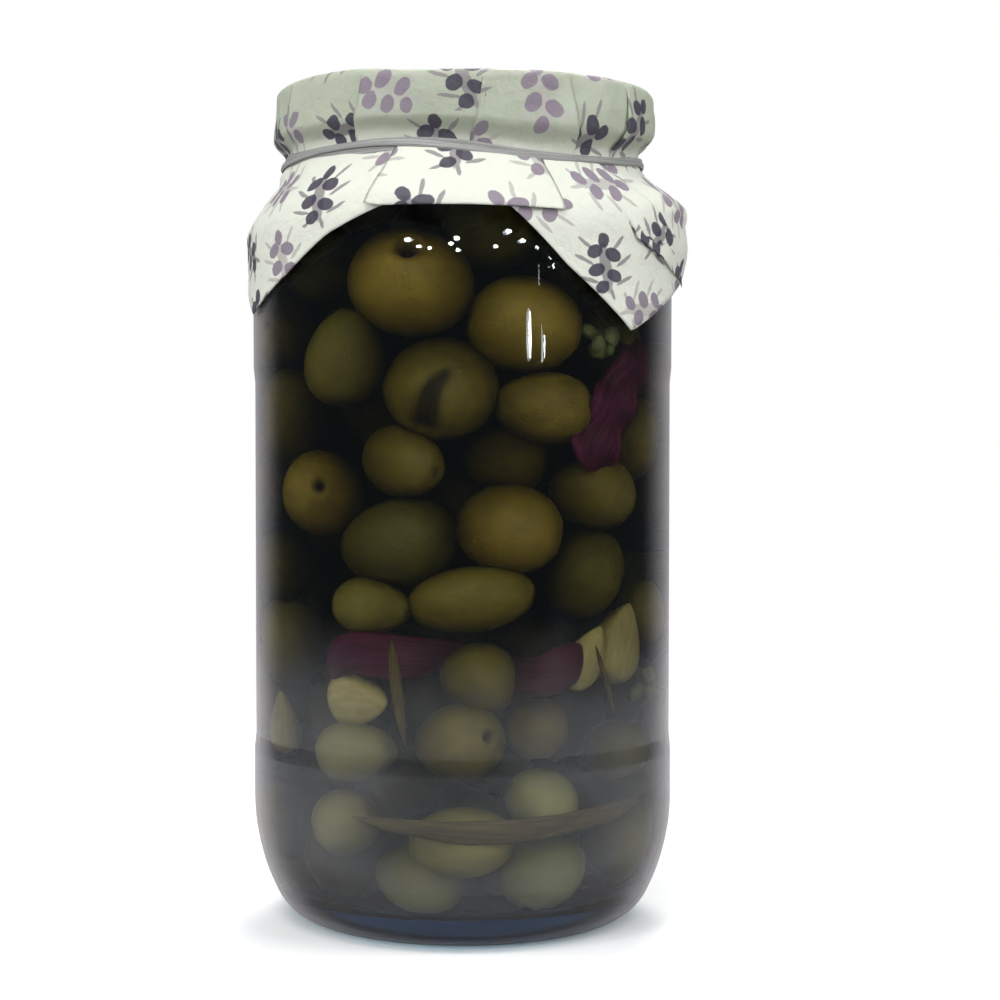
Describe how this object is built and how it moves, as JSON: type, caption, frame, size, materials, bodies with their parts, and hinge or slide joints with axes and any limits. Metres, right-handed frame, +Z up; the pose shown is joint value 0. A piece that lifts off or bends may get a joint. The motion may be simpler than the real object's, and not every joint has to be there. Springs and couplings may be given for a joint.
{
  "type": "jar of olives",
  "caption": "Tall clear glass jar filled with mixed olives in brine, shut with a cap under a tied square of printed paper.",
  "frame": {"origin": "centre of the base, on the surface that the jar stands on", "axes": "+Z up along the jar's axis, -Y towards the front, +X to the right seen from the front"},
  "size_m": [0.1128, 0.1128, 0.2116],
  "materials": {
    "glass": "clear polished glass, faint blue-green in thick places",
    "brine": "clear dark brine",
    "cap": "smooth gloss lacquer",
    "paper": "crisp creased printed paper, slight sheen",
    "tie": "flat pale fibre band, fine lengthwise grain",
    "olive": "smooth wet skin, green to ochre",
    "garlic": "smooth wet clove",
    "onion": "wet purple strips",
    "leaf": "wet dark leaf"
  },
  "bodies": {
    "root": {"jar": "glass", "brine": "brine", "cap": "cap", "paper_cover": "paper", "tie": "tie"}
  },
  "joints": []
}
